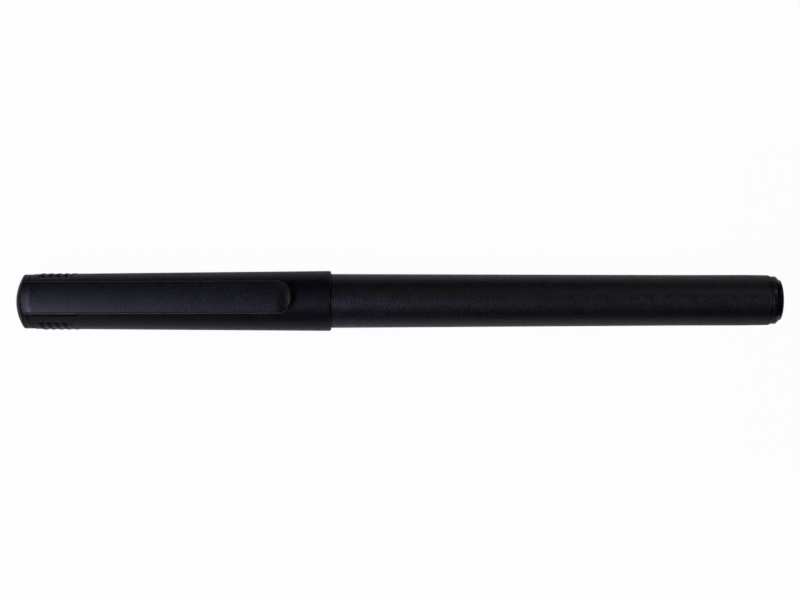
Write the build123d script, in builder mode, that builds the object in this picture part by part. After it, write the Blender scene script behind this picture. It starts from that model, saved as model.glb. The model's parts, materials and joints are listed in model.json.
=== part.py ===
from build123d import *
import math
import os

# Capped fineliner pen, closed, with its ink store, writing tip and sealing liner inside.
# The pen lies along X with its tail at +X, its clip on top at +Z and its widest ring on Z = 0.
# Stations along the pen are counted from the shoulder where the mouth of the cap stops.
# All sizes are in millimetres, and a diameter is named without the word radius.

# Barrel: a tapered tube with a stepped neck for the cap and a parallel land near its tail
barrel_length = 80.2
barrel_front_diameter = 9.84
barrel_taper = 0.6
post_land_length = 12.0
barrel_end_ease_length = 4.2
barrel_end_ease = 0.14
barrel_end_chamfer_length = 0.5
barrel_end_chamfer_depth = 0.33
barrel_shoulder_round = 0.12
neck_length = 12.0
neck_step = 0.42
neck_wall = 0.75
neck_lead_in = 0.4
neck_bead_height = 0.08
neck_bead_width = 1.2
neck_bead_setback = 3.0
bore_rib_count = 6
bore_rib_width = 0.6
bore_rib_height = 0.15
bore_rib_margin = 2.0

# Ink store: a fibre rod in a film sleeve, and the wick that drains it
sleeve_clearance = 0.03
sleeve_wall = 0.1
wrap_clearance = 0.02
wick_diameter = 1.8
wick_clearance = 0.03
wick_reach = 6.0
wick_hole_spare = 0.2

# Nose section: pressed into the neck, with a finger cone, the land the liner seals on and a front cone
nose_spigot_length = 9.0
nose_spigot_clearance = 0.02
nose_collar_length = 1.5
nose_collar_step = 0.15
nose_grip_length = 11.5
nose_grip_step = 0.4
seal_land_diameter = 5.9
seal_land_length = 4.0
nose_front_length = 6.0
nose_tip_wall = 0.4
nose_cavity_diameter = 5.0
nose_cavity_depth = 10.0
nose_edge_round = 0.3

# Writing tip: a steel tube, rolled in at its end round the nib
tip_tube_diameter = 1.4
tip_tube_wall = 0.22
tip_tube_seat = 4.0
tip_tube_exposed = 4.6
tip_tube_clearance = 0.02
tip_crimp_length = 0.9
nib_diameter = 0.4
nib_exposed = 1.3
nib_clearance = 0.02

# Tail plug: a hollow spigot, a flange flush with the barrel's end and rounded at its back, and a domed button
plug_spigot_length = 7.0
plug_clearance = 0.02
plug_groove_width = 0.17
plug_groove_depth = 0.2
plug_flange_length = 1.13
plug_flange_front_round = 0.15
plug_flange_back_round_share = 0.9
plug_button_step = 0.67
plug_button_length = 1.06
plug_button_round = 0.65
plug_dome_height = 0.2
plug_hollow_wall = 0.9
plug_hollow_depth = 6.0

# Cap shell: a tapered tube, parallel inside where it slides on the neck
cap_fit_clearance = 0.12
cap_mouth_wall = 0.86
cap_mouth_round = 0.15
cap_mouth_lead_in = 0.25
cap_bore_margin = 2.0
cap_taper = 0.96
cap_end_wall = 0.85
nib_room = 8.9

# Finger ribs: slanted ridges on both flanks of the shell, with small pits between their upper ends
rib_count = 5
rib_pitch = 1.416
rib_width = 0.62
rib_height = 0.15
rib_setback = 2.5
rib_reach = 5.9
rib_slant_angle = 20.0
pit_height = 2.5
pit_length = 0.9
pit_depth = 0.3

# Cap liner: a closed sleeve with a sealing lip
liner_clearance = 0.03
liner_wall = 0.7
liner_end_wall = 0.9
liner_lip_length = 2.5
liner_lip_setback = 0.5
liner_lip_lead_in = 0.25
seal_clearance = 0.05

# Cap crown: a domed plug whose spigot closes the shell
crown_height = 2.74
crown_step = 0.07
crown_dome_height = 1.5
crown_edge_round = 0.4
crown_spigot_length = 4.0
crown_clearance = 0.03
crown_spigot_wall = 0.8
crown_skin = 1.6

# Clip: its root sits in a notch of the shell and its arm runs parallel to the shell's surface
clip_width = 5.84
clip_thickness = 1.5
clip_stand_off = 2.3
clip_face_crown = 0.35
clip_edge_round = 0.28
clip_root_length = 8.7
clip_root_clearance = 0.16
clip_root_slope_length = 1.7
clip_root_slope_drop = 0.75
clip_root_bow = 0.35
clip_flex_gap = 0.05
clip_tip_gap = 7.0
clip_tip_length = 2.1
clip_nose_length = 3.1
clip_nose_drop = 0.9
clip_bead_length = 5.0
clip_bead_clearance = 0.15

# How far a cutting body runs past what it cuts, and the share of that within which two places agree
overrun = 1.0
agreement_share = 0.001

# Radii that the fits share, from the barrel outwards and inwards
barrel_front_radius = barrel_front_diameter / 2
post_land_radius = barrel_front_radius - barrel_taper / 2
barrel_end_radius = post_land_radius - barrel_end_ease / 2
barrel_rim_radius = barrel_end_radius - barrel_end_chamfer_depth
neck_radius = barrel_front_radius - neck_step
bore_radius = neck_radius - neck_wall
sleeve_radius = bore_radius - bore_rib_height - sleeve_clearance
reservoir_radius = sleeve_radius - sleeve_wall - wrap_clearance
wick_radius = wick_diameter / 2
cap_bore_radius = neck_radius + cap_fit_clearance
cap_mouth_radius = cap_bore_radius + cap_mouth_wall
cap_end_radius = cap_mouth_radius - cap_taper / 2
cap_end_bore_radius = cap_end_radius - cap_end_wall
crown_radius = cap_end_radius - crown_step
crown_spigot_radius = cap_end_bore_radius - crown_clearance
crown_hollow_radius = crown_spigot_radius - crown_spigot_wall
nose_collar_radius = neck_radius - nose_collar_step
nose_grip_radius = nose_collar_radius - nose_grip_step
seal_land_radius = seal_land_diameter / 2
tip_tube_radius = tip_tube_diameter / 2
tip_tube_bore_radius = tip_tube_radius - tip_tube_wall
nib_radius = nib_diameter / 2
nib_shank_radius = tip_tube_bore_radius - nib_clearance

# Stations along the pen, from the nose's back end forwards and then back to the tail
nose_back = nose_spigot_length - neck_length
nose_collar_front = -neck_length - nose_collar_length
seal_land_back = nose_collar_front - nose_grip_length
seal_land_front = seal_land_back - seal_land_length
nose_front = seal_land_front - nose_front_length
tip_tube_back = nose_front + tip_tube_seat
tip_tube_front = nose_front - tip_tube_exposed
tip_crimp_back = tip_tube_front + tip_crimp_length
nib_tip = tip_tube_front - nib_exposed
liner_mouth = seal_land_back - liner_lip_setback
liner_chamber_end = nib_tip - nib_room
liner_back = liner_chamber_end - liner_end_wall
crown_seam = liner_back - crown_spigot_length
shell_length = -crown_seam
crown_tip = crown_seam - crown_height
crown_dome_edge = crown_tip + crown_dome_height
cap_bore_depth = neck_length + cap_bore_margin
plug_front = barrel_length - plug_spigot_length
plug_flange_front = barrel_length + plug_groove_width
plug_flange_back = plug_flange_front + plug_flange_length
plug_end = plug_flange_back + plug_button_length

# The pen's frame: middle of its length at X = 0, and its axis a cap radius above Z = 0
shoulder_x = -(crown_tip + plug_end) / 2
axis_height = cap_mouth_radius
pen_side = Plane(origin=(shoulder_x, 0, axis_height), x_dir=(1, 0, 0), z_dir=(0, -1, 0))
pen_axis = Axis(pen_side.origin, pen_side.x_dir)

# The clip's frame: on the top line of the shell, counted from the crown's seam towards the mouth
clip_side = Plane(
    origin=(shoulder_x + crown_seam, 0, axis_height + cap_end_radius),
    x_dir=(shell_length, 0, cap_mouth_radius - cap_end_radius),
    z_dir=(0, -1, 0),
)
clip_start = crown_dome_edge - crown_seam
clip_reach = shell_length - clip_tip_gap
clip_plan = Plane(origin=clip_side.origin, x_dir=clip_side.x_dir, z_dir=clip_side.y_dir)
clip_cross = Plane(
    origin=clip_side.from_local_coords(Vector(clip_start - overrun, 0, 0)),
    x_dir=(0, 1, 0),
    z_dir=clip_side.x_dir,
)


def across(station):
    """Plane square to the pen at a station, facing the tail, with Y to its right and Z up."""
    return Plane(origin=(shoulder_x + station, 0, axis_height), x_dir=(0, 1, 0), z_dir=(1, 0, 0))


def cap_bore_radius_at(station):
    """Radius of the shell's hollow: parallel over the neck, then tapering to the crown's seam."""
    taper_share = (-cap_bore_depth - station) / (shell_length - cap_bore_depth)
    return cap_bore_radius + (cap_end_bore_radius - cap_bore_radius) * max(taper_share, 0)


def rings_at(piece, station):
    """Circular edges of a piece that lie square to the pen at a station."""
    place = shoulder_x + station
    slack = overrun * agreement_share
    rings = piece.edges().filter_by(GeomType.CIRCLE)
    return rings.filter_by_position(Axis.X, place - slack, place + slack).sort_by(SortBy.RADIUS)


# Barrel
land_back = barrel_length - barrel_end_chamfer_length - barrel_end_ease_length
land_front = land_back - post_land_length
bead_front = neck_bead_setback - neck_length
bead_back = bead_front + neck_bead_width
bore_rib_front = nose_back + bore_rib_margin
bore_rib_length = plug_front - bore_rib_margin - bore_rib_front
bore_rib_root = neck_wall / 2

with BuildPart() as barrel:
    with BuildSketch(pen_side):
        with BuildLine():
            outline = Polyline(
                (bead_back, neck_radius),
                (0, neck_radius),
                (0, barrel_front_radius),
                (land_front, post_land_radius),
                (land_back, post_land_radius),
                (barrel_length - barrel_end_chamfer_length, barrel_end_radius),
                (barrel_length, barrel_rim_radius),
                (barrel_length, bore_radius),
                (-neck_length, bore_radius),
                (-neck_length, neck_radius - neck_lead_in / 2),
                (neck_lead_in - neck_length, neck_radius),
                (bead_front, neck_radius),
            )
            bead_top = ((bead_front + bead_back) / 2, neck_radius + neck_bead_height)
            ThreePointArc(outline @ 1, bead_top, outline @ 0)
        make_face()
    revolve(axis=pen_axis)
    fillet(rings_at(barrel, 0)[-1], barrel_shoulder_round)
    with BuildSketch(across(bore_rib_front)):
        with PolarLocations(bore_radius - bore_rib_height, bore_rib_count):
            Rectangle(bore_rib_height + bore_rib_root, bore_rib_width, align=(Align.MIN, Align.CENTER))
    extrude(amount=bore_rib_length)
barrel.part.label = "barrel"

# Tail plug
plug_spigot_radius = bore_radius - plug_clearance
plug_button_radius = barrel_rim_radius - plug_button_step

with BuildPart() as tail_plug:
    with BuildSketch(pen_side):
        with BuildLine():
            outline = Polyline(
                (plug_end - plug_dome_height, plug_button_radius),
                (plug_flange_back, plug_button_radius),
                (plug_flange_back, barrel_rim_radius),
                (plug_flange_front, barrel_rim_radius),
                (plug_flange_front, barrel_rim_radius - plug_groove_depth),
                (barrel_length, barrel_rim_radius - plug_groove_depth),
                (barrel_length, plug_spigot_radius),
                (plug_front, plug_spigot_radius),
                (plug_front, plug_spigot_radius - plug_hollow_wall),
                (plug_front + plug_hollow_depth, plug_spigot_radius - plug_hollow_wall),
                (plug_front + plug_hollow_depth, 0),
                (plug_end, 0),
            )
            TangentArc(outline @ 1, outline @ 0, tangent=(0, 1))
        make_face()
    revolve(axis=pen_axis)
    fillet(rings_at(tail_plug, plug_end - plug_dome_height)[-1], plug_button_round)
    fillet(rings_at(tail_plug, plug_flange_front)[-1], plug_flange_front_round)
    fillet(rings_at(tail_plug, plug_flange_back)[-1], plug_button_step * plug_flange_back_round_share)
tail_plug.part.label = "tail_plug"

# Ink reservoir and its film sleeve, held between the nose's spigot and the tail plug
wick_back = nose_back + wick_reach

with BuildPart() as ink_reservoir:
    with BuildSketch(across(nose_back)):
        Circle(reservoir_radius)
    extrude(amount=plug_front - nose_back)
    with BuildSketch(across(nose_back)):
        Circle(wick_radius + wick_clearance)
    extrude(amount=wick_reach + wick_hole_spare, mode=Mode.SUBTRACT)
ink_reservoir.part.label = "ink_reservoir"

with BuildPart() as reservoir_sleeve:
    with BuildSketch(across(nose_back)):
        Circle(sleeve_radius)
        Circle(sleeve_radius - sleeve_wall, mode=Mode.SUBTRACT)
    extrude(amount=plug_front - nose_back)
reservoir_sleeve.part.label = "reservoir_sleeve"

# Feed wick, from the back of the nib into the reservoir
with BuildPart() as feed_wick:
    with BuildSketch(across(tip_tube_back)):
        Circle(wick_radius)
    extrude(amount=wick_back - tip_tube_back)
feed_wick.part.label = "feed_wick"

# Nose section
nose_spigot_radius = bore_radius - nose_spigot_clearance
nose_cavity_radius = nose_cavity_diameter / 2
nose_cavity_front = nose_back - nose_cavity_depth
tip_seat_radius = tip_tube_radius + tip_tube_clearance
nose_front_radius = tip_seat_radius + nose_tip_wall

with BuildPart() as nose_section:
    with BuildSketch(pen_side):
        with BuildLine():
            Polyline(
                (nose_back, nose_cavity_radius),
                (nose_back, nose_spigot_radius),
                (-neck_length, nose_spigot_radius),
                (-neck_length, nose_collar_radius),
                (nose_collar_front, nose_collar_radius),
                (nose_collar_front, nose_grip_radius),
                (seal_land_back, seal_land_radius),
                (seal_land_front, seal_land_radius),
                (nose_front, nose_front_radius),
                (nose_front, tip_seat_radius),
                (tip_tube_back, tip_seat_radius),
                (tip_tube_back, wick_radius + wick_clearance),
                (nose_cavity_front, wick_radius + wick_clearance),
                (nose_cavity_front, nose_cavity_radius),
                close=True,
            )
        make_face()
    revolve(axis=pen_axis)
    fillet(rings_at(nose_section, nose_collar_front)[-1], nose_edge_round)
nose_section.part.label = "nose_section"

# Tip tube and nib
tip_mouth_radius = nib_radius + nib_clearance

with BuildPart() as tip_tube:
    with BuildSketch(pen_side):
        with BuildLine():
            Polyline(
                (tip_tube_back, tip_tube_bore_radius),
                (tip_tube_back, tip_tube_radius),
                (tip_crimp_back, tip_tube_radius),
                (tip_tube_front, tip_mouth_radius + tip_tube_wall),
                (tip_tube_front, tip_mouth_radius),
                (tip_crimp_back, tip_tube_bore_radius),
                close=True,
            )
        make_face()
    revolve(axis=pen_axis)
tip_tube.part.label = "tip_tube"

with BuildPart() as nib:
    with BuildSketch(pen_side):
        with BuildLine():
            shank = Polyline(
                (nib_tip, 0),
                (tip_tube_back, 0),
                (tip_tube_back, nib_shank_radius),
                (tip_crimp_back, nib_shank_radius),
                (tip_tube_front, nib_radius),
                (nib_tip + nib_radius, nib_radius),
            )
            TangentArc(shank @ 1, shank @ 0, tangent=(-1, 0))
        make_face()
    revolve(axis=pen_axis)
nib.part.label = "nib"

# Finger ribs and the pits between them, as bands round the shell that are joined and cut there
rib_band_radius = cap_end_radius + rib_height
rib_lean = math.tan(math.radians(rib_slant_angle))
rib_places = [(crown_seam + rib_setback + number * rib_pitch, 0) for number in range(rib_count)]
pit_places = [(station + rib_pitch / 2 - pit_height * rib_lean, pit_height) for station, _ in rib_places[:-1]]


def flank_bands(places, width, length, inner_radius, outer_radius):
    """Slanted bars seen from the side, kept only between two radii, so on both flanks alike."""
    with BuildPart() as bands:
        with BuildSketch(pen_side):
            with Locations(*places):
                Rectangle(width, length, rotation=rib_slant_angle)
        extrude(amount=outer_radius, both=True)
        with BuildSketch(pen_side):
            with Locations((crown_seam + clip_root_length / 2, inner_radius)):
                Rectangle(clip_root_length + overrun, outer_radius - inner_radius, align=(Align.CENTER, Align.MIN))
        revolve(axis=pen_axis, mode=Mode.INTERSECT)
    return bands.part


finger_ribs = flank_bands(rib_places, rib_width, rib_reach, cap_end_radius - cap_end_wall / 2, rib_band_radius)
finger_pits = flank_bands(
    pit_places, rib_pitch - rib_width, pit_length, cap_end_radius - pit_depth, rib_band_radius + overrun
)

# Cap shell
notch_width = clip_width + 2 * clip_root_clearance
notch_length = clip_root_length + clip_root_clearance

with BuildPart() as cap_shell:
    with BuildSketch(pen_side):
        with BuildLine():
            Polyline(
                (crown_seam, cap_end_bore_radius),
                (crown_seam, cap_end_radius),
                (0, cap_mouth_radius),
                (0, cap_bore_radius + cap_mouth_lead_in),
                (-cap_mouth_lead_in, cap_bore_radius),
                (-cap_bore_depth, cap_bore_radius),
                close=True,
            )
        make_face()
    revolve(axis=pen_axis)
    fillet(rings_at(cap_shell, 0)[-1], cap_mouth_round)
    add(finger_ribs)
    add(finger_pits, mode=Mode.SUBTRACT)
    with BuildSketch(clip_plan):
        with Locations((-overrun, 0)):
            Rectangle(notch_length + overrun, notch_width, align=(Align.MIN, Align.CENTER))
    extrude(amount=cap_end_radius, both=True, mode=Mode.SUBTRACT)
cap_shell.part.label = "cap_shell"

# Cap liner
lip_radius = seal_land_radius + seal_clearance
lip_back = liner_mouth - liner_lip_length

with BuildPart() as cap_liner:
    with BuildSketch(pen_side):
        with BuildLine():
            Polyline(
                (liner_back, 0),
                (liner_back, cap_bore_radius_at(liner_back) - liner_clearance),
                (liner_mouth, cap_bore_radius_at(liner_mouth) - liner_clearance),
                (liner_mouth, lip_radius + liner_lip_lead_in),
                (liner_mouth - liner_lip_lead_in, lip_radius),
                (lip_back, lip_radius),
                (lip_back, cap_bore_radius_at(lip_back) - liner_clearance - liner_wall),
                (liner_chamber_end, cap_bore_radius_at(liner_chamber_end) - liner_clearance - liner_wall),
                (liner_chamber_end, 0),
                close=True,
            )
        make_face()
    revolve(axis=pen_axis)
cap_liner.part.label = "cap_liner"

# Clip section, shared by the root and the arm: upright sides under a gently crowned face
with BuildSketch(clip_cross) as clip_section:
    with BuildLine():
        half_width = clip_width / 2
        edge_height = clip_stand_off - clip_face_crown
        sides = Polyline(
            (-half_width, edge_height),
            (-half_width, -cap_end_radius),
            (half_width, -cap_end_radius),
            (half_width, edge_height),
        )
        ThreePointArc(sides @ 1, (0, clip_stand_off), sides @ 0)
    make_face()
    fillet(clip_section.vertices().group_by(Axis.Y)[-1], clip_edge_round)

# Cap crown, with the root of the clip
with BuildPart() as cap_crown:
    with BuildSketch(clip_side):
        with BuildLine():
            outline = Polyline(
                (clip_start, clip_stand_off - clip_root_slope_drop),
                (clip_start, -cap_end_radius),
                (clip_root_length, -cap_end_radius),
                (clip_root_length, clip_stand_off),
                (clip_start + clip_root_slope_length, clip_stand_off),
            )
            TangentArc(outline @ 1, outline @ 0, tangent=(-1, 0))
        make_face()
    extrude(amount=clip_width, both=True)
    extrude(clip_section.sketch, amount=clip_reach + 2 * overrun, mode=Mode.INTERSECT)
    with BuildSketch(clip_plan):
        with BuildLine():
            sides = Polyline(
                (clip_start + clip_root_bow, half_width),
                (clip_root_length, half_width),
                (clip_root_length, -half_width),
                (clip_start + clip_root_bow, -half_width),
            )
            ThreePointArc(sides @ 1, (clip_start, 0), sides @ 0)
        make_face()
    extrude(amount=cap_mouth_radius, both=True, mode=Mode.INTERSECT)
    with BuildSketch(pen_side):
        with BuildLine():
            root_end = crown_seam + clip_root_length + overrun
            Polyline(
                (liner_back, 0),
                (liner_back, cap_bore_radius_at(liner_back)),
                (root_end, cap_bore_radius_at(root_end)),
                (root_end, 0),
                close=True,
            )
        make_face()
    revolve(axis=pen_axis, mode=Mode.SUBTRACT)
    with BuildSketch(pen_side) as crown_outline:
        with BuildLine():
            outline = Polyline(
                (crown_dome_edge, crown_radius),
                (crown_seam, crown_radius),
                (crown_seam, crown_spigot_radius),
                (liner_back, crown_spigot_radius),
                (liner_back, 0),
                (crown_tip, 0),
            )
            TangentArc(outline @ 1, outline @ 0, tangent=(0, 1))
        make_face()
        fillet(crown_outline.vertices().group_by(Axis.Y)[-1].sort_by(Axis.X)[0], crown_edge_round)
    revolve(axis=pen_axis)
    with BuildSketch(across(crown_tip + crown_skin)):
        Circle(crown_hollow_radius)
    extrude(amount=liner_back - crown_tip - crown_skin, mode=Mode.SUBTRACT)
cap_crown.part.label = "cap_crown"

# Clip arm, with a nose that rounds down at its tip and a bead that grips the cloth
clip_gap = clip_stand_off - clip_thickness
arm_start = clip_root_length + clip_flex_gap
bead_start = clip_reach - clip_nose_length - clip_bead_length

with BuildPart() as clip_arm:
    with BuildSketch(clip_side):
        with BuildLine():
            top = Line((arm_start, clip_stand_off), (clip_reach - clip_nose_length, clip_stand_off))
            nose = TangentArc(top @ 1, (clip_reach, clip_stand_off - clip_nose_drop), tangent=top % 1)
            under = Polyline(
                nose @ 1,
                (clip_reach, clip_gap),
                (clip_reach - clip_nose_length, clip_gap),
            )
            bead = ThreePointArc(
                under @ 1,
                (bead_start + clip_bead_length / 2, clip_bead_clearance),
                (bead_start, clip_gap),
            )
            Polyline(bead @ 1, (arm_start, clip_gap), top @ 0)
        make_face()
    extrude(amount=clip_width, both=True)
    extrude(clip_section.sketch, amount=clip_reach + 2 * overrun, mode=Mode.INTERSECT)
    with BuildSketch(clip_plan):
        with BuildLine():
            sides = Polyline(
                (clip_reach - clip_tip_length, half_width),
                (arm_start - overrun, half_width),
                (arm_start - overrun, -half_width),
                (clip_reach - clip_tip_length, -half_width),
            )
            ThreePointArc(sides @ 1, (clip_reach, 0), sides @ 0)
        make_face()
    extrude(amount=clip_stand_off + overrun, mode=Mode.INTERSECT)
clip_arm.part.label = "clip_arm"

os.makedirs("parts", exist_ok=True)
for piece in (
    barrel,
    tail_plug,
    ink_reservoir,
    reservoir_sleeve,
    feed_wick,
    nose_section,
    tip_tube,
    nib,
    cap_shell,
    cap_liner,
    cap_crown,
    clip_arm,
):
    export_step(piece.part, f"parts/{piece.part.label}.step")
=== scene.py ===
"""Looks of a capped fineliner pen: its pieces as surfaces on grids, their finishes, and the studio."""
import json
import math

import bmesh
import bpy
import numpy as np
from mathutils import Matrix, Vector


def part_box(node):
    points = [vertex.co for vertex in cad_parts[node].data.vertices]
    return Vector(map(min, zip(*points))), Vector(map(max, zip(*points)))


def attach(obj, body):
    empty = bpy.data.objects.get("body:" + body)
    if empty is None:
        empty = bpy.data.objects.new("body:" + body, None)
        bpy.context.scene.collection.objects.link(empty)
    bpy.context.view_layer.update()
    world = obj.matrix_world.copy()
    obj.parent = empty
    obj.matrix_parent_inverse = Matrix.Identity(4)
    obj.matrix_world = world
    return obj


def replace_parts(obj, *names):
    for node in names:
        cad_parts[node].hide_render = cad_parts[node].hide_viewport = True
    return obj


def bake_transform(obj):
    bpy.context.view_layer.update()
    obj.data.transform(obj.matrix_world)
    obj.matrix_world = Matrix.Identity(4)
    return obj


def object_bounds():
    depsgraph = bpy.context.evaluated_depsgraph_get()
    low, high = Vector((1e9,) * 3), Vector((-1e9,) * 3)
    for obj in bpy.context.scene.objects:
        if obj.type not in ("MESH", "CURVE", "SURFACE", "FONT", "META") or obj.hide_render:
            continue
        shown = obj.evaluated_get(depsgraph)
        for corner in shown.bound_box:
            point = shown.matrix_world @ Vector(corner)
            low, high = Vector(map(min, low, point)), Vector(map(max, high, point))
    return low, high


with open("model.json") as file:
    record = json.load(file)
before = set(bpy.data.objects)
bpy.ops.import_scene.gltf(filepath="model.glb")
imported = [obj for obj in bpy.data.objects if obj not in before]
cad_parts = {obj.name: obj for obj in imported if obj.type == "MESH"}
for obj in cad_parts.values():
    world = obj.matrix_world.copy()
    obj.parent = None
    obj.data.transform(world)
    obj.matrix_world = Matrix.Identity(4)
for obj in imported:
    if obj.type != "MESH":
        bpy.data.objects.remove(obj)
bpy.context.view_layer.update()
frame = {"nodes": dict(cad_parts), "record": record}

# The pen's frame. Sizes are in millimetres. Stations run along the pen towards its tail, from the shoulder
# where the cap's mouth stops, and heights are counted from the pen's axis.
MM = 0.001
shoulder_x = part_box("cap_shell")[1].x / MM
mounts = frame["record"]["mounts"]
axis_height = next(mount["pos_m"][2] for mount in mounts if mount["name"] == "post_land") / MM

# Barrel
barrel_length = 80.2
barrel_front_radius = 4.92
post_land_radius = 4.62
post_land_front = 63.5
post_land_back = 75.5
barrel_end_radius = 4.55
barrel_rim_radius = 4.34
barrel_chamfer_length = 0.5
barrel_chamfer_round = 0.3
barrel_rim_round = 0.06
tail_ease_round = 100
shoulder_round = 0.12
shoulder_foot_round = 0.05
neck_length = 12.0
neck_radius = 4.5
neck_lead_in = 0.4
neck_lead_in_round = 0.3
neck_end_round = 0.05
neck_bore_round = 0.1
neck_bead_front = -9.0
neck_bead_width = 1.2
neck_bead_height = 0.08
neck_bead_round = 0.8
neck_bead_foot_round = 1.2
bore_radius = 3.75

# Tail plug
plug_spigot_length = 7.0
plug_spigot_round = 0.3
plug_clearance = 0.02
plug_groove_width = 0.1
plug_groove_depth = 0.08
plug_flange_length = 0.7
plug_flange_front_round = 0.1
plug_flange_back_round = 0.15
plug_cone_length = 0.67
plug_cone_depth = 0.66
plug_cone_round = 0.1
plug_button_length = 0.89
plug_bulge_height = 0.81
plug_hollow_wall = 0.9
plug_hollow_depth = 6.0

# Nose and writing tip
nose_back = -3.0
nose_spigot_round = 0.2
nose_collar_front = -13.5
nose_collar_radius = 4.35
nose_collar_back_round = 0.1
nose_collar_front_round = 0.3
nose_grip_radius = 3.95
nose_grip_round = 0.15
seal_land_back = -25.0
seal_land_front = -29.0
seal_land_radius = 2.95
seal_land_back_round = 2.0
seal_land_front_round = 1.5
nose_front = -35.0
nose_front_radius = 1.12
nose_front_round = 0.12
tip_seat_round = 0.05
nose_cavity_front = -13.0
nose_cavity_radius = 2.5
wick_hole_radius = 0.93
tip_tube_back = -31.0
tip_tube_front = -39.6
tip_crimp_back = -38.7
tip_tube_radius = 0.7
tip_tube_bore_radius = 0.48
tip_tube_clearance = 0.02
tip_crimp_outer_round = 0.8
tip_crimp_inner_round = 0.3
tip_mouth_outer_round = 0.1
tip_mouth_inner_round = 0.03
nib_radius = 0.2
nib_tip = -40.9

# Cap shell, liner and crown
crown_seam = -54.7
cap_mouth_radius = 5.48
cap_end_radius = 5.0
cap_bore_radius = 4.62
cap_end_bore_radius = 4.15
cap_end_round = 0.06
cap_end_bore_round = 0.05
cap_bore_depth = 14.0
cap_mouth_round = 0.35
cap_mouth_lead_in = 0.25
cap_lead_in_front_round = 0.05
cap_lead_in_back_round = 0.1
liner_back = -50.7
liner_chamber_end = -49.8
liner_mouth = -25.5
liner_lip_back = -28.0
liner_lip_radius = 3.0
liner_lip_lead_in = 0.25
liner_clearance = 0.03
liner_wall = 0.7
liner_edge_round = 0.15
liner_back_round = 0.2
liner_lip_round = 0.3
liner_chamber_round = 0.3
crown_tip = -57.44
crown_dome_edge = -55.94
crown_radius = 4.93
crown_edge_round = 0.4
crown_seam_round = 0.05
crown_spigot_radius = 4.12
crown_spigot_round = 0.1
crown_hollow_radius = 3.32
crown_hollow_mouth_round = 0.05
crown_hollow_end_round = 0.2
crown_skin = 1.6
seam_shift = 0.87
seam_lean = math.tan(math.radians(15.5))
seam_gap = 0.16

# Finger ribs on both flanks of the shell
rib_count = 5
rib_pitch = 1.416
rib_first = -52.2
rib_half_width = 0.52
rib_radius = 5.15
rib_end_height = 2.85
rib_end_fade = 0.4
rib_lean = math.tan(math.radians(20))
pit_height = 2.5
pit_half_length = 0.45
pit_half_width = 0.36
pit_depth = 0.42

# Clip, along the shell's top line from the crown's seam, with heights above that line
clip_half_width = 2.92
clip_front = crown_dome_edge - crown_seam
clip_front_bow = 0.35
clip_front_corner = 0.5
clip_front_slope = 1.6
clip_front_drop = 0.45
clip_front_power = 1.25
clip_stand_off = 2.3
clip_face_crown = 0.39
clip_edge_round = 0.26
clip_front_edge_round = 0.08
clip_nose_edge_round = 0.2
clip_root_end = 8.7
clip_root_clearance = 0.16
clip_root_depth = 1.2
clip_reach = 47.7
clip_tip_length = 2.5
clip_nose_length = 3.4
clip_nose_drop = 0.85
clip_nose_power = 3
clip_thickness = 1.5
clip_bead_start = 39.6
clip_bead_length = 5.0
clip_bead_clearance = 0.15

# How finely the surfaces are drawn. Points closer than MERGE, in metres, become one.
ROUND = np.linspace(-math.pi, math.pi, 192, endpoint=False)
ARC_STEP = math.radians(9)
DOME_RINGS, BULGE_RINGS = 16, 24
HOLD = 0.15
CREASE = math.radians(38)
MERGE = 1e-7

# Sockets of a Mix node that mixes colours: its two colours, and the mixed one
FROM_COLOUR, TO_COLOUR, MIXED = 6, 7, 2


def rounded(corners, closed=False):
    """Outline of straight runs through (station, radius, round) corners. A corner with a round is an arc
    tangent to its two runs, whose centre lies on their bisector. Long runs get a holding point near each
    end."""
    points = np.array([corner[:2] for corner in corners], float)
    blocks = []
    for index, (_, _, size) in enumerate(corners):
        at = points[index]
        if size == 0 or (not closed and index in (0, len(corners) - 1)):
            blocks.append(at[None])
            continue
        arms = np.array([points[index - 1], points[(index + 1) % len(points)]]) - at
        arms /= np.linalg.norm(arms, axis=1)[:, None]
        half = math.acos(arms[0] @ arms[1]) / 2
        bisector = arms.sum(0) / np.linalg.norm(arms.sum(0))
        centre = at + bisector * size / math.sin(half)
        first, last = at + arms * size / math.tan(half) - centre
        sweep = math.pi - 2 * half
        share = np.linspace(0, 1, max(3, math.ceil(sweep / ARC_STEP) + 1))[:, None]
        arc = (np.sin((1 - share) * sweep) * first + np.sin(share * sweep) * last) / math.sin(sweep)
        blocks.append(centre + arc)
    outline = []
    for index, block in enumerate(blocks):
        outline.append(block)
        if index + 1 == len(blocks) and not closed:
            break
        run = blocks[(index + 1) % len(blocks)][0] - block[-1]
        length = np.linalg.norm(run)
        if length > 4 * HOLD:
            holds = np.array([[HOLD], [length - HOLD]]) / length
            outline.append(block[-1] + holds * run)
    return np.concatenate(outline)


def domed(tip, edge, rim_radius):
    """Half of a dome as (station, radius, 0) corners: the circle through the tip on the axis and the rim."""
    height = abs(edge - tip)
    radius = (rim_radius**2 + height**2) / (2 * height)
    angle = np.linspace(0, math.asin(rim_radius / radius), DOME_RINGS)
    stations = tip + math.copysign(radius, edge - tip) * (1 - np.cos(angle))
    return [(station, ring, 0) for station, ring in zip(stations, radius * np.sin(angle))]


def bulged(tip, edge, rim_radius):
    """Quarter of an ellipse as (station, radius, 0) corners, from the rim, where it runs along the pen, to
    the tip on the axis."""
    angle = np.linspace(0, math.pi / 2, BULGE_RINGS)
    return [(edge + (tip - edge) * math.sin(turn), rim_radius * math.cos(turn), 0) for turn in angle]


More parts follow.
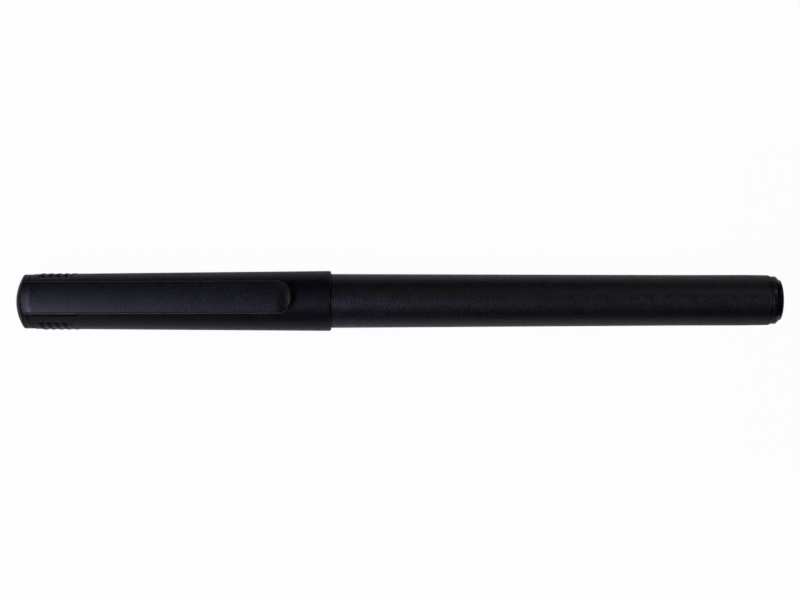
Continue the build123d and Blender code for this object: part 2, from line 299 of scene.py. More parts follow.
def turned(outline, angles=ROUND, relief=None, lean=None):
    """Surface of revolution: each (station, radius) of the outline is carried round the pen's axis, with
    angles from the top. A lean moves the stations in step with the height, so that rings become slanted, and
    a relief gives a radius that changes with the angle as well."""
    station = np.repeat(outline[:, :1], len(angles), 1)
    radius = np.repeat(outline[:, 1:], len(angles), 1)
    if lean:
        station = station - lean(station) * radius * np.cos(angles)
    if relief:
        radius = relief(station, radius, angles[None, :])
    return np.stack([station, radius * np.sin(angles), radius * np.cos(angles)], -1)


def cells(rows, columns, wrap_rows, wrap_columns):
    """Corner numbers of each cell of a grid. A wrapped side joins its last line to its first."""
    row = np.arange(rows if wrap_rows else rows - 1)[:, None]
    column = np.arange(columns if wrap_columns else columns - 1)[None, :]
    below, beside = (row + 1) % rows, (column + 1) % columns
    near, far = row * columns, below * columns
    corners = [near + column, near + beside, far + beside, far + column]
    return np.stack(np.broadcast_arrays(*corners), -1).reshape(-1, 4)


def closed_mesh(name, grid, wrap_rows, wrap_columns):
    """Mesh of a grid of points in the pen's frame, with its seams and poles merged and its faces outwards."""
    points = (grid + np.array([shoulder_x, 0, axis_height])) * MM
    mesh = bpy.data.meshes.new(name)
    faces = cells(*grid.shape[:2], wrap_rows, wrap_columns)
    mesh.from_pydata(points.reshape(-1, 3).tolist(), [], faces.tolist())
    shell = bmesh.new()
    shell.from_mesh(mesh)
    bmesh.ops.remove_doubles(shell, verts=shell.verts, dist=MERGE)
    bmesh.ops.recalc_face_normals(shell, faces=shell.faces)
    shell.to_mesh(mesh)
    shell.free()
    mesh.shade_smooth()
    mesh.set_sharp_from_angle(angle=CREASE)
    return mesh


def placed(name, mesh, finish):
    """Object of a finished mesh, with its material."""
    piece = bpy.data.objects.new(name, mesh)
    bpy.context.scene.collection.objects.link(piece)
    mesh.materials.append(finish)
    return piece


def turned_piece(name, outline, closed, finish, slot, body, node, **drawing):
    """One lathe-turned piece that rides on a body and stands for a CAD node."""
    mesh = closed_mesh(name, turned(outline, **drawing), closed, True)
    piece = placed(name, mesh, finish)
    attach(piece, body)
    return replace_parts(piece, node)


def smooth_step(value):
    """Rises from 0 to 1 as the value does, level at both ends."""
    share = np.clip(value, 0, 1)
    return share * share * (3 - 2 * share)


# Finishes
def linear(code):
    """sRGB hex colour as linear red, green, blue and alpha."""
    srgb = np.array([int(code[place:place + 2], 16) for place in (1, 3, 5)]) / 255
    return (*np.where(srgb <= 0.04045, srgb / 12.92, ((srgb + 0.055) / 1.055) ** 2.4), 1.0)


def per(size):
    """Scale of a pattern whose grain is a size in millimetres, on coordinates in metres."""
    return 1 / (size * MM)


def add(tree, kind, inputs=None, **settings):
    """Adds a node of a kind with its settings, and gives each named input a value or a link."""
    made = tree.nodes.new("ShaderNode" + kind)
    for setting, value in settings.items():
        setattr(made, setting, value)
    for name, value in (inputs or {}).items():
        if isinstance(value, bpy.types.NodeSocket):
            tree.links.new(value, made.inputs[name])
        else:
            made.inputs[name].default_value = value
    return made


def new_finish(name):
    """Empty material, its node tree, its output and the object's own coordinates."""
    finish = bpy.data.materials.new(name)
    finish.use_nodes = True
    tree = finish.node_tree
    tree.nodes.clear()
    return finish, tree, add(tree, "OutputMaterial"), add(tree, "TexCoord").outputs["Object"]


def spark_eroded_black(name, gloss, depth):
    """Black polypropylene from a spark-eroded mould: a fine even grain spreads the light to a broad soft
    sheen, a little uneven from flow in the mould and from handling, and convex edges are rubbed smoother.
    Each mould has its own gloss and its own depth of grain in millimetres."""
    finish, tree, output, place = new_finish(name)
    # The real grain of 0.03 mm is drawn coarser, to show
    grain_size, flow_size, rub_size = 0.38, 2.4, 9.0
    grain = add(tree, "TexNoise", {
        "Vector": place, "Scale": per(grain_size), "Detail": 2.0, "Roughness": 0.6,
    })
    flow = add(tree, "TexNoise", {
        "Vector": place, "Scale": per(flow_size), "Detail": 4.0, "Roughness": 0.55,
    })
    rub = add(tree, "TexNoise", {
        "Vector": place, "Scale": per(rub_size), "Detail": 5.0, "Roughness": 0.65,
    })
    edge = add(tree, "MapRange", {
        "Value": add(tree, "NewGeometry").outputs["Pointiness"], "From Min": 0.54, "From Max": 0.64,
        "To Min": 0.0, "To Max": 0.1,
    })
    sheen = add(tree, "MapRange", {
        "Value": flow.outputs["Fac"], "From Min": 0.3, "From Max": 0.7, "To Min": 0.32, "To Max": 0.39,
    })
    worn = add(tree, "MapRange", {
        "Value": rub.outputs["Fac"], "From Min": 0.55, "From Max": 0.75, "To Min": 0.0, "To Max": 0.05,
    })
    grit = add(tree, "MapRange", {
        "Value": grain.outputs["Fac"], "From Min": 0.3, "From Max": 0.7, "To Min": -0.04, "To Max": 0.16,
    })
    less = add(tree, "Math", {0: sheen.outputs[0], 1: edge.outputs[0]}, operation="SUBTRACT")
    rubbed = add(tree, "Math", {0: less.outputs[0], 1: worn.outputs[0]}, operation="SUBTRACT")
    roughness = add(tree, "Math", {0: rubbed.outputs[0], 1: grit.outputs[0]})
    tint = add(tree, "Mix", {
        "Factor": flow.outputs["Fac"], FROM_COLOUR: linear("#030304"), TO_COLOUR: linear("#060607"),
    }, data_type="RGBA")
    relief = add(tree, "Bump", {"Height": grain.outputs["Fac"], "Strength": 1.0, "Distance": depth * MM})
    surface = add(tree, "BsdfPrincipled", {
        "Base Color": tint.outputs[MIXED], "Roughness": roughness.outputs[0], "IOR": 1.49,
        "Specular IOR Level": gloss, "Normal": relief.outputs["Normal"],
    })
    tree.links.new(surface.outputs[0], output.inputs["Surface"])
    return finish


def polished_black():
    """Black styrene from a polished mould: a soft gloss, slightly hazed and slightly wavy."""
    finish, tree, output, place = new_finish("polished_mould_black_styrene")
    wave_size, wave_depth, haze_size = 1.6, 0.03, 0.5
    wave = add(tree, "TexNoise", {"Vector": place, "Scale": per(wave_size), "Detail": 2.0})
    haze = add(tree, "TexNoise", {"Vector": place, "Scale": per(haze_size), "Detail": 4.0})
    roughness = add(tree, "MapRange", {
        "Value": haze.outputs["Fac"], "From Min": 0.3, "From Max": 0.75, "To Min": 0.22, "To Max": 0.3,
    })
    tint = add(tree, "Mix", {
        "Factor": haze.outputs["Fac"], FROM_COLOUR: linear("#08080a"), TO_COLOUR: linear("#0d0d0f"),
    }, data_type="RGBA")
    relief = add(tree, "Bump", {"Height": wave.outputs["Fac"], "Strength": 0.12, "Distance": wave_depth * MM})
    surface = add(tree, "BsdfPrincipled", {
        "Base Color": tint.outputs[MIXED], "Roughness": roughness.outputs[0], "IOR": 1.55,
        "Specular IOR Level": 0.22, "Normal": relief.outputs["Normal"],
    })
    tree.links.new(surface.outputs[0], output.inputs["Surface"])
    return finish


def milky_polyethylene():
    """Unpigmented polyethylene moulding: milky, with light that soaks in, and a waxy half-gloss."""
    finish, tree, output, place = new_finish("milky_moulded_polyethylene")
    cloud_size, wax_size, soak_depth = 3.0, 0.3, 0.6
    cloud = add(tree, "TexNoise", {"Vector": place, "Scale": per(cloud_size), "Detail": 3.0})
    wax = add(tree, "TexNoise", {"Vector": place, "Scale": per(wax_size), "Detail": 3.0})
    tint = add(tree, "Mix", {
        "Factor": cloud.outputs["Fac"], FROM_COLOUR: linear("#dedcd2"), TO_COLOUR: linear("#efeee8"),
    }, data_type="RGBA")
    roughness = add(tree, "MapRange", {"Value": wax.outputs["Fac"], "To Min": 0.34, "To Max": 0.48})
    surface = add(tree, "BsdfPrincipled", {
        "Base Color": tint.outputs[MIXED], "Roughness": roughness.outputs[0], "IOR": 1.51,
        "Subsurface Weight": 0.4, "Subsurface Scale": soak_depth * MM,
    })
    tree.links.new(surface.outputs[0], output.inputs["Surface"])
    return finish


def drawn_steel():
    """Stainless tube, bright drawn: fine lines along the tube stretch its highlights round it."""
    finish, tree, output, place = new_finish("bright_drawn_stainless_tube")
    line_size, line_stretch, line_depth = 0.06, 40.0, 0.005
    lines = add(tree, "Mapping", {"Vector": place, "Scale": (1 / line_stretch, 1.0, 1.0)})
    draw = add(tree, "TexNoise", {"Vector": lines.outputs[0], "Scale": per(line_size), "Detail": 3.0})
    roughness = add(tree, "MapRange", {"Value": draw.outputs["Fac"], "To Min": 0.2, "To Max": 0.38})
    relief = add(tree, "Bump", {"Height": draw.outputs["Fac"], "Strength": 0.2, "Distance": line_depth * MM})
    surface = add(tree, "BsdfPrincipled", {
        "Base Color": linear("#c9c9cb"), "Metallic": 1.0, "Roughness": roughness.outputs[0],
        "Normal": relief.outputs["Normal"],
    })
    tree.links.new(surface.outputs[0], output.inputs["Surface"])
    return finish


def inked_point():
    """Extruded acetal point, ground to a ball and stained by ink."""
    finish, tree, output, place = new_finish("ground_acetal_point_with_ink")
    grind_size, grind_depth = 0.05, 0.01
    grind = add(tree, "TexNoise", {"Vector": place, "Scale": per(grind_size), "Detail": 4.0})
    tint = add(tree, "Mix", {
        "Factor": grind.outputs["Fac"], FROM_COLOUR: linear("#101014"), TO_COLOUR: linear("#2a2a30"),
    }, data_type="RGBA")
    relief = add(tree, "Bump", {
        "Height": grind.outputs["Fac"], "Strength": 0.3, "Distance": grind_depth * MM,
    })
    surface = add(tree, "BsdfPrincipled", {
        "Base Color": tint.outputs[MIXED], "Roughness": 0.5, "IOR": 1.48, "Normal": relief.outputs["Normal"],
    })
    tree.links.new(surface.outputs[0], output.inputs["Surface"])
    return finish


def inked_fibre():
    """Bonded polyester fibre full of ink: dark strands along the pen, with a damp sheen."""
    finish, tree, output, place = new_finish("bonded_polyester_fibre_with_ink")
    strand_size, strand_stretch, strand_depth = 0.08, 60.0, 0.04
    strands = add(tree, "Mapping", {"Vector": place, "Scale": (1 / strand_stretch, 1.0, 1.0)})
    bundle = add(tree, "TexNoise", {"Vector": strands.outputs[0], "Scale": per(strand_size), "Detail": 4.0})
    tint = add(tree, "Mix", {
        "Factor": bundle.outputs["Fac"], FROM_COLOUR: linear("#14141b"), TO_COLOUR: linear("#3a3a46"),
    }, data_type="RGBA")
    relief = add(tree, "Bump", {
        "Height": bundle.outputs["Fac"], "Strength": 0.6, "Distance": strand_depth * MM,
    })
    surface = add(tree, "BsdfPrincipled", {
        "Base Color": tint.outputs[MIXED], "Roughness": 0.6, "Normal": relief.outputs["Normal"],
    })
    tree.links.new(surface.outputs[0], output.inputs["Surface"])
    return finish


def clear_film():
    """Wrapped polypropylene film: clear, glossy and faintly creased."""
    finish, tree, output, place = new_finish("wrapped_polypropylene_film")
    crease_size, crease_depth = 2.0, 0.05
    crease = add(tree, "TexNoise", {"Vector": place, "Scale": per(crease_size), "Detail": 3.0})
    relief = add(tree, "Bump", {
        "Height": crease.outputs["Fac"], "Strength": 0.3, "Distance": crease_depth * MM,
    })
    surface = add(tree, "BsdfPrincipled", {
        "Base Color": linear("#e6eaec"), "Roughness": 0.12, "IOR": 1.49, "Transmission Weight": 0.85,
        "Normal": relief.outputs["Normal"],
    })
    tree.links.new(surface.outputs[0], output.inputs["Surface"])
    return finish


barrel_black = spark_eroded_black("coarse_spark_eroded_black_polypropylene", gloss=0.31, depth=0.055)
cap_black = spark_eroded_black("fine_spark_eroded_black_polypropylene", gloss=0.155, depth=0.045)
clip_black = spark_eroded_black("rubbed_spark_eroded_black_polypropylene", gloss=0.205, depth=0.038)
gloss_black = polished_black()
milky = milky_polyethylene()
steel = drawn_steel()
point = inked_point()
fibre = inked_fibre()
film = clear_film()


# Barrel: tapered outside with a parallel land, a shoulder and a beaded neck
def make_barrel():
    chamfer_front = barrel_length - barrel_chamfer_length
    bead_middle = neck_bead_front + neck_bead_width / 2
    outline = rounded([
        (-neck_length, bore_radius, neck_bore_round),
        (-neck_length, neck_radius - neck_lead_in / 2, neck_end_round),
        (neck_lead_in - neck_length, neck_radius, neck_lead_in_round),
        (neck_bead_front, neck_radius, neck_bead_foot_round),
        (bead_middle, neck_radius + neck_bead_height, neck_bead_round),
        (neck_bead_front + neck_bead_width, neck_radius, neck_bead_foot_round),
        (0, neck_radius, shoulder_foot_round),
        (0, barrel_front_radius, shoulder_round),
        (post_land_front, post_land_radius, 0),
        (post_land_back, post_land_radius, tail_ease_round),
        (chamfer_front, barrel_end_radius, barrel_chamfer_round),
        (barrel_length, barrel_rim_radius, barrel_rim_round),
        (barrel_length, bore_radius, barrel_rim_round),
    ], closed=True)
    return turned_piece("barrel_skin", outline, True, barrel_black, "matte_black", "barrel", "barrel")


# Tail plug: hollow spigot, groove, flange, cone and bulged button
def make_tail_plug():
    spigot_front = barrel_length - plug_spigot_length
    spigot_radius = bore_radius - plug_clearance
    hollow_radius = spigot_radius - plug_hollow_wall
    flange_front = barrel_length + plug_groove_width
    flange_back = flange_front + plug_flange_length
    cone_back = flange_back + plug_cone_length
    button_radius = barrel_rim_radius - plug_cone_depth
    end = cone_back + plug_button_length
    groove_radius = barrel_rim_radius - plug_groove_depth
    outline = rounded([
        (spigot_front + plug_hollow_depth, 0, 0),
        (spigot_front + plug_hollow_depth, hollow_radius, 0),
        (spigot_front, hollow_radius, 0),
        (spigot_front, spigot_radius, plug_spigot_round),
        (barrel_length, spigot_radius, 0),
        (barrel_length, groove_radius, 0),
        (flange_front, groove_radius, 0),
        (flange_front, barrel_rim_radius, plug_flange_front_round),
        (flange_back, barrel_rim_radius, plug_flange_back_round),
        (cone_back, button_radius, plug_cone_round),
        *bulged(end, end - plug_bulge_height, button_radius),
    ])
    return turned_piece("tail_plug_skin", outline, False, gloss_black, "gloss_black", "barrel", "tail_plug")


# Nose section: cavity for the reservoir's wick, collar, finger cone, sealing land and front cone
def make_nose():
    spigot_radius = bore_radius - plug_clearance
    seat_radius = tip_tube_radius + tip_tube_clearance
    outline = rounded([
        (nose_back, nose_cavity_radius, 0),
        (nose_back, spigot_radius, nose_spigot_round),
        (-neck_length, spigot_radius, 0),
        (-neck_length, nose_collar_radius, nose_collar_back_round),
        (nose_collar_front, nose_collar_radius, nose_collar_front_round),
        (nose_collar_front, nose_grip_radius, nose_grip_round),
        (seal_land_back, seal_land_radius, seal_land_back_round),
        (seal_land_front, seal_land_radius, seal_land_front_round),
        (nose_front, nose_front_radius, nose_front_round),
        (nose_front, seat_radius, tip_seat_round),
        (tip_tube_back, seat_radius, 0),
        (tip_tube_back, wick_hole_radius, 0),
        (nose_cavity_front, wick_hole_radius, 0),
        (nose_cavity_front, nose_cavity_radius, 0),
    ], closed=True)
    return turned_piece("nose_skin", outline, True, gloss_black, "gloss_black", "barrel", "nose_section")


# Tip tube, rolled in at its end round the nib
def make_tip_tube():
    mouth_radius = nib_radius + tip_tube_clearance
    wall = tip_tube_radius - tip_tube_bore_radius
    outline = rounded([
        (tip_tube_back, tip_tube_bore_radius, 0),
        (tip_tube_back, tip_tube_radius, 0),
        (tip_crimp_back, tip_tube_radius, tip_crimp_outer_round),
        (tip_tube_front, mouth_radius + wall, tip_mouth_outer_round),
        (tip_tube_front, mouth_radius, tip_mouth_inner_round),
        (tip_crimp_back, tip_tube_bore_radius, tip_crimp_inner_round),
    ], closed=True)
    return turned_piece("tip_tube_skin", outline, True, steel, "tip_steel", "barrel", "tip_tube")


# Nib: a round-ended point on a thicker shank
def make_nib():
    shank_radius = tip_tube_bore_radius - tip_tube_clearance
    outline = rounded([
        (tip_tube_back, 0, 0),
        (tip_tube_back, shank_radius, 0),
        (tip_crimp_back, shank_radius, 0),
        (tip_tube_front, nib_radius, 0),
        *domed(nib_tip, nib_tip + nib_radius, nib_radius)[::-1],
    ])
    return turned_piece("nib_skin", outline, False, point, "nib_polymer", "barrel", "nib")


def shell_radius(station):
    """Outer radius of the shell's taper, from the crown's seam to the mouth."""
    return cap_end_radius + (cap_mouth_radius - cap_end_radius) * (station - crown_seam) / -crown_seam


def shell_bore(station):
    """Radius of the shell's hollow: parallel over the neck, then tapering to the crown's seam."""
    share = np.maximum(-cap_bore_depth - station, 0) / (-crown_seam - cap_bore_depth)
    return cap_bore_radius + (cap_end_bore_radius - cap_bore_radius) * share


def seam_slant(rim, reach):
    """Lean of the seam between crown and shell: none at the dome, full at a rim, and fading out over a reach
    behind it."""
    return lambda station: seam_lean * np.where(
        station < rim, (station - crown_dome_edge) / (rim - crown_dome_edge), 1 - (station - rim) / reach,
    ).clip(0, 1)


# Notch for the clip's root. Its floor is a skin over the bore, and each upright wall is drawn as a step
# within notch_wall, in millimetres along the pen or in radians round it.
notch_angle = math.asin((clip_half_width + clip_root_clearance) / cap_end_radius)
notch_end = crown_seam + clip_root_end + clip_root_clearance
notch_floor = 0.05
notch_wall = 0.004


def shell_relief(station, radius, angle):
    """Radius of the shell's outer skin. On the flanks it rises to slanted rib crests, each a squared cosine
    across its line and faded out at both ends, and sinks into a bell-shaped pit between the upper ends of
    each two ribs. In the clip's notch it falls to just above the bore."""
    skin_depth = 0.15
    outer = radius > shell_radius(station) - skin_depth
    height = radius * np.cos(angle)
    along = (station + rib_lean * height - rib_first) / rib_pitch
    from_crest = (along - np.clip(np.round(along), 0, rib_count - 1)) * rib_pitch
    crest = np.cos(np.clip(from_crest / rib_half_width, -1, 1) * math.pi / 2) ** 2
    ends = smooth_step((rib_end_height - np.abs(height)) / rib_end_fade)
    raised = radius + (rib_radius - radius) * crest * ends
    from_pit = (along - np.clip(np.floor(along), 0, rib_count - 2) - 0.5) * rib_pitch
    pit = np.exp(-((from_pit / pit_half_width) ** 2) - ((height - pit_height) / pit_half_length) ** 2)
    skin = raised - pit_depth * pit
    notch = (np.abs(angle) < notch_angle) & (station < notch_end)
    skin = np.where(notch, shell_bore(station) + notch_floor, skin)
    return np.where(outer, skin, radius)


# Cap shell: tapered tube with finger ribs, a rounded mouth and the notch for the clip's root
def make_cap_shell():
    seam = crown_seam + seam_shift
    seam_land, rib_rows = 0.2, 150
    flank_top, flank_bottom = math.radians(48), math.radians(132)
    notch_points, shoulder_points, flank_points, belly_points = 12, 8, 120, 24
    rows = np.concatenate([
        np.linspace(seam + seam_land, notch_end - 2 * notch_wall, rib_rows),
        [notch_end - notch_wall, notch_end + notch_wall],
    ])
    half_turn = np.concatenate([
        np.linspace(0, notch_angle - notch_wall, notch_points),
        np.linspace(notch_angle, flank_top, shoulder_points),
        np.linspace(flank_top, flank_bottom, flank_points)[1:],
        np.linspace(flank_bottom, math.pi, belly_points)[1:],
    ])
    outline = rounded([
        (seam, cap_end_bore_radius, cap_end_bore_round),
        (seam, cap_end_radius, cap_end_round),
        *[(station, shell_radius(station), 0) for station in rows],
        (0, cap_mouth_radius, cap_mouth_round),
        (0, cap_bore_radius + cap_mouth_lead_in, cap_lead_in_front_round),
        (-cap_mouth_lead_in, cap_bore_radius, cap_lead_in_back_round),
        (-cap_bore_depth, cap_bore_radius, 0),
    ], closed=True)
    angles = np.concatenate([-half_turn[:0:-1], half_turn[:-1]])
    return turned_piece(
        "cap_shell_skin", outline, True, cap_black, "matte_black", "cap", "cap_shell",
        angles=angles, relief=shell_relief, lean=seam_slant(seam, notch_end - seam),
    )


# Cap liner: closed sleeve with a sealing lip
def make_liner():
    def outer(station):
        return shell_bore(station) - liner_clearance

    outline = rounded([
        (liner_back, 0, 0),
        (liner_back, outer(liner_back), liner_back_round),
        (liner_mouth, outer(liner_mouth), liner_edge_round),
        (liner_mouth, liner_lip_radius + liner_lip_lead_in, liner_edge_round),
        (liner_mouth - liner_lip_lead_in, liner_lip_radius, liner_edge_round),
        (liner_lip_back, liner_lip_radius, liner_lip_round),
        (liner_lip_back, outer(liner_lip_back) - liner_wall, liner_edge_round),
        (liner_chamber_end, outer(liner_chamber_end) - liner_wall, liner_chamber_round),
        (liner_chamber_end, 0, 0),
    ])
    return turned_piece("cap_liner_skin", outline, False, milky, "natural_polymer", "cap", "cap_liner")


# Cap crown: dome, band and hollow spigot
def make_crown():
    hollow_front = crown_tip + crown_skin
    seam = crown_seam + seam_shift - seam_gap
    outline = rounded([
        *domed(crown_tip, crown_dome_edge, crown_radius)[:-1],
        (crown_dome_edge, crown_radius, crown_edge_round),
        (seam, crown_radius, crown_seam_round),
        (seam, crown_spigot_radius, 0),
        (liner_back, crown_spigot_radius, crown_spigot_round),
        (liner_back, crown_hollow_radius, crown_hollow_mouth_round),
        (hollow_front, crown_hollow_radius, crown_hollow_end_round),
        (hollow_front, 0, 0),
    ])
    return turned_piece(
        "cap_crown_skin", outline, False, cap_black, "matte_black", "cap", "cap_crown",
        lean=seam_slant(seam, liner_back - seam),
    )


def clip_plan():
    """Clip's outline seen from above, once round from its front left corner: a straight side, a half ellipse
    round the tip, the other side, and a front bowed by a parabola between two rounded corners."""
    side_points, tip_points, corner_points, bow_points = 90, 49, 9, 14
    tip_start = clip_reach - clip_tip_length
    front_side = clip_front + clip_front_bow + clip_front_corner
    near_root = np.array([clip_root_end - notch_wall, clip_root_end + notch_wall])
    even = np.linspace(front_side, tip_start, side_points, endpoint=False)
    side = np.sort(np.concatenate([even, near_root]))
    turn = np.linspace(0, math.pi, tip_points)
    tip = np.stack([tip_start + clip_tip_length * np.sin(turn), clip_half_width * np.cos(turn)], -1)
    left = np.stack([side, np.full(len(side), clip_half_width)], -1)
    corner = np.linspace(0, math.pi / 2, corner_points)[1:]
    corner_y = clip_half_width - clip_front_corner * (1 - np.cos(corner))
    corner_x = front_side - clip_front_corner * np.sin(corner)
    across = np.linspace(corner_y[-1], 0, bow_points)[1:]
    bow = clip_front + clip_front_bow * (across / corner_y[-1]) ** 2
    front_left = np.stack([np.concatenate([corner_x, bow]), np.concatenate([corner_y, across])], -1)
    mirror = np.array([1, -1])
    return np.concatenate([left, tip, left[::-1] * mirror, front_left[:-1] * mirror, front_left[::-1]])


def clip_under(along):
    """Height of the clip's underside: deep in the notch at the root, then at the flexing gap, from which the
    gripping bead hangs as a squared sine."""
    gap = clip_stand_off - clip_thickness
    share = np.clip((along - clip_bead_start) / clip_bead_length, 0, 1)
    bead = (gap - clip_bead_clearance) * np.sin(math.pi * share) ** 2
    return np.where(along < clip_root_end, -clip_root_depth, gap - bead)


def clip_top(plan, inset, edge_round):
    """Height of the clip's face: crowned across by a parabola, falling on an almost flat facet towards the
    front crease and by a cubic towards the nose, and by a quarter circle over the edge."""
    along, across = plan[..., 0], plan[..., 1] / clip_half_width
    from_front = along - clip_front - clip_front_bow * across**2
    front = clip_front_drop * np.clip(1 - from_front / clip_front_slope, 0, 1) ** clip_front_power
    nose = clip_nose_drop * np.clip(1 - (clip_reach - along) / clip_nose_length, 0, 1) ** clip_nose_power
    past_edge = np.clip(1 - inset / edge_round, 0, 1)
    edge = edge_round * (1 - np.sqrt(1 - past_edge**2))
    return clip_stand_off - clip_face_crown * across**2 - front - nose - edge


def clip_grid():
    """A profile carried round the clip's outline: from the middle line of the face out to the edge, over the
    edge, down the side and back along the underside to the middle line. The edge's round is a share of the
    rounds of the sides, the front and the nose, by the direction that the outline faces."""
    face_points, edge_points, wall_points, under_points = 18, 10, 6, 8
    edge = clip_plan()
    ahead = np.roll(edge, -1, 0) - np.roll(edge, 1, 0)
    facing = np.stack([-ahead[:, 1], ahead[:, 0]], -1) / np.linalg.norm(ahead, axis=1)[:, None]
    middle_front = clip_front + clip_front_bow + clip_half_width
    middle_tip = clip_reach - clip_half_width
    middle = np.stack([np.clip(edge[:, 0], middle_front, middle_tip), np.zeros(len(edge))], -1)
    reach = np.abs(((edge - middle) * facing).sum(1))[:, None]
    end_share = facing[:, :1] ** 2
    end_round = np.where(edge[:, :1] < middle_front, clip_front_edge_round, clip_nose_edge_round)
    edge_round = clip_edge_round + (end_round - clip_edge_round) * end_share
    turn = np.linspace(math.pi / 2, 0, edge_points)
    flat = np.linspace(1, 0, face_points, endpoint=False)
    inset = np.concatenate([edge_round + (reach - edge_round) * flat, edge_round * (1 - np.cos(turn))], 1)
    top = edge[:, None] + (middle - edge)[:, None] * (inset / reach)[..., None]
    top_height = clip_top(top, inset, edge_round)
    share = np.linspace(0, 1, under_points)[None, :, None]
    below = edge[:, None] + (middle - edge)[:, None] * share
    below_height = clip_under(below[..., 0])
    down = np.linspace(0, 1, wall_points)[1:-1]
    wall = np.repeat(edge[:, None], len(down), 1)
    wall_height = top_height[:, -1:] + (below_height[:, :1] - top_height[:, -1:]) * down
    plan = np.concatenate([top, wall, below], 1)
    height = np.concatenate([top_height, wall_height, below_height], 1)
    slope = math.atan2(cap_mouth_radius - cap_end_radius, -crown_seam)
    station = crown_seam + plan[..., 0] * math.cos(slope) - height * math.sin(slope)
    rise = cap_end_radius + plan[..., 0] * math.sin(slope) + height * math.cos(slope)
    return np.stack([station, plan[..., 1], rise], -1)


# Clip: one moulding with its root
def make_clip():
    mesh = closed_mesh("clip_skin", clip_grid(), True, False)
    piece = placed("clip_skin", mesh, clip_black)
    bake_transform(piece)
    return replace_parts(piece, "clip_arm")


make_barrel()
make_tail_plug()
make_nose()
make_tip_tube()
make_nib()
make_cap_shell()
make_liner()
make_crown()
make_clip()

# Pieces inside that keep their CAD shape
for node, finish in (("ink_reservoir", fibre), ("feed_wick", fibre), ("reservoir_sleeve", film)):
    frame["nodes"][node].data.materials.clear()
    frame["nodes"][node].data.materials.append(finish)


# Studio: a white floor, a black card at each end of the pen, soft lights, and a camera above the pen
def floor_finish():
    """White paper sweep. The eye sees a plain white with a trace of shadow. Gloss and glass mirror the paper
    as it is lit, with a trace of that white, so that its shade beside the pen is mirrored too."""
    finish, tree, output, _ = new_finish("white_paper_sweep")
    white_to_eye, white_to_gloss = 0.97, 0.05
    seen = add(tree, "LightPath")
    mirrored = add(tree, "Math", {
        0: seen.outputs["Is Glossy Ray"], 1: seen.outputs["Is Transmission Ray"],
    }, operation="MAXIMUM")
    to_gloss = add(tree, "Math", {0: mirrored.outputs[0], 1: white_to_gloss}, operation="MULTIPLY")
    to_eye = add(tree, "Math", {0: seen.outputs["Is Camera Ray"], 1: white_to_eye}, operation="MULTIPLY")
    share = add(tree, "Math", {0: to_gloss.outputs[0], 1: to_eye.outputs[0]}, operation="MAXIMUM")
    lit = add(tree, "BsdfDiffuse", {"Color": linear("#d2c8bc")})
    white = add(tree, "Emission", {"Color": linear("#ffffff"), "Strength": 1.0})
    mixed = add(tree, "MixShader", {0: share.outputs[0], 1: lit.outputs[0], 2: white.outputs[0]})
    tree.links.new(mixed.outputs[0], output.inputs["Surface"])
    return finish


def make_floor():
    """Square sheet of paper, far larger than the picture."""
    half = 3000.0
    corners = np.array([[-half, -half, 0], [half, -half, 0], [half, half, 0], [-half, half, 0]]) * MM
    mesh = bpy.data.meshes.new("floor")
    mesh.from_pydata(corners.tolist(), [], [(0, 1, 2, 3)])
    mesh.materials.append(floor_finish())
    floor = bpy.data.objects.new("floor", mesh)
    bpy.context.scene.collection.objects.link(floor)


def black_card():
    """Black flocked card that swallows the light."""
    finish, tree, output, place = new_finish("black_flocked_card")
    flock_size = 0.4
    flock = add(tree, "TexNoise", {"Vector": place, "Scale": per(flock_size), "Detail": 2.0})
    tint = add(tree, "Mix", {
        "Factor": flock.outputs["Fac"], FROM_COLOUR: linear("#020202"), TO_COLOUR: linear("#060606"),
    }, data_type="RGBA")
    nap = add(tree, "BsdfDiffuse", {"Color": tint.outputs[MIXED]})
    tree.links.new(nap.outputs[0], output.inputs["Surface"])
    return finish


def make_flags():
    """A black card stands across each end of the pen, hidden from the eye, and keeps the ends dark. The one
    at the tail is lower, so that the barrel's chamfer still mirrors some of the lamp beyond it."""
    from_end, half_width, crown_height, tail_height = 7.0, 30.0, 25.0, 20.0
    card = black_card()
    places = (
        ("flag_at_crown", low.x / MM - from_end, crown_height),
        ("flag_at_tail", high.x / MM + from_end, tail_height),
    )
    for name, end, height in places:
        corners = np.array([
            [end, -half_width, 0], [end, half_width, 0],
            [end, half_width, height], [end, -half_width, height],
        ]) * MM
        mesh = bpy.data.meshes.new(name)
        mesh.from_pydata(corners.tolist(), [], [(0, 1, 2, 3)])
        mesh.materials.append(card)
        flag = bpy.data.objects.new(name, mesh)
        flag.visible_camera = flag.visible_shadow = False
        bpy.context.scene.collection.objects.link(flag)


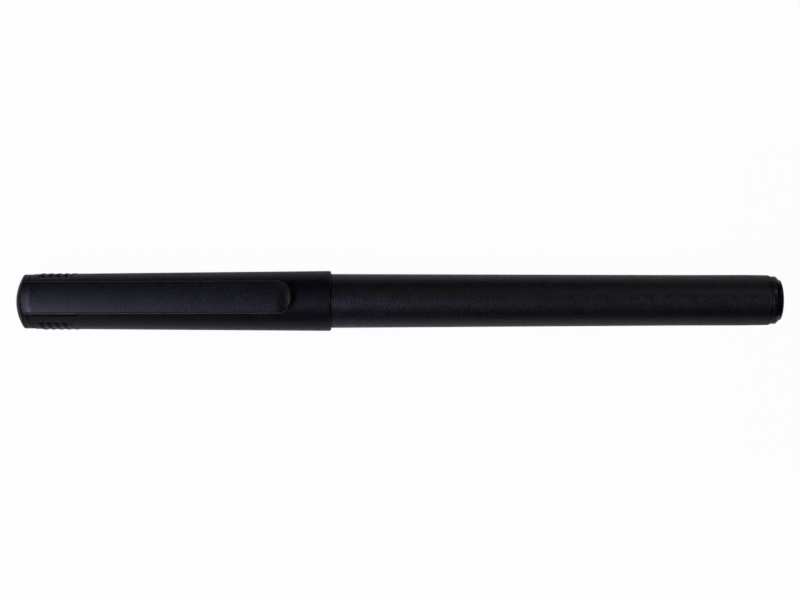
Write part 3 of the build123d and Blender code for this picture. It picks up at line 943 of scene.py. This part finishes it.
def soft_light(name, place, size, power, tint="#ffffff"):
    """Square softbox at a place in millimetres, facing the middle of the pen."""
    lamp = bpy.data.lights.new(name, "AREA")
    lamp.shape = "SQUARE"
    lamp.size = size * MM
    lamp.energy = power
    lamp.color = linear(tint)[:3]
    light = bpy.data.objects.new(name, lamp)
    light.location = Vector(place) * MM
    light.rotation_euler = (-light.location).to_track_quat("-Z", "Y").to_euler()
    bpy.context.scene.collection.objects.link(light)


def make_camera():
    """Camera that looks down on the pen from just in front of it, a hair rolled, with the pen across its
    frame. Its lens makes one pixel at the aim as wide as the given length in millimetres."""
    distance, elevation, roll, aim_behind = 510.0, 84.0, 0.105, 0.15
    frame_width, sensor_width, pixel = 800, 36.0, 0.18265
    aim = Vector((0, aim_behind, axis_height)) * MM
    tilt = math.radians(elevation)
    back = Vector((0, -math.cos(tilt), math.sin(tilt)))
    camera = bpy.data.cameras.new("camera")
    camera.sensor_width = sensor_width
    camera.lens = distance * sensor_width / (frame_width * pixel)
    camera.clip_start, camera.clip_end = distance * MM / 10, distance * MM * 100
    watcher = bpy.data.objects.new("camera", camera)
    look = (-back).to_track_quat("-Z", "Y").to_matrix().to_4x4()
    watcher.matrix_world = Matrix.Translation(aim + back * distance * MM) @ look @ Matrix.Rotation(
        -math.radians(roll), 4, "Z"
    )
    bpy.context.scene.collection.objects.link(watcher)
    bpy.context.scene.camera = watcher


def make_world():
    """Dim even light from all round."""
    world = bpy.data.worlds.new("dim_studio")
    bpy.context.scene.world = world
    world.use_nodes = True
    world.node_tree.nodes["Background"].inputs["Color"].default_value = linear("#1c1c1e")
    world.node_tree.nodes["Background"].inputs["Strength"].default_value = 1.0


low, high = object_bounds()
make_floor()
make_flags()
make_world()
daylight = "#d3d7ff"
soft_light("key_left", (-345, -290, 650), 300, 2.5, daylight)
soft_light("left_window", (-465, -20, 650), 300, 3.5, daylight)
soft_light("near_left", (-112, -52, 85), 40, 0.11, daylight)
soft_light("low_front", (-102, -122, 12), 53, 0.014)
soft_light("overhead_back", (257, 445, 613), 300, 0.36)
soft_light("tail_fill", (230, 0, 170), 99, 0.2)
soft_light("low_back", (78, 135, 39), 53, 0.003)
make_camera()
bpy.context.scene.view_settings.view_transform = "Standard"
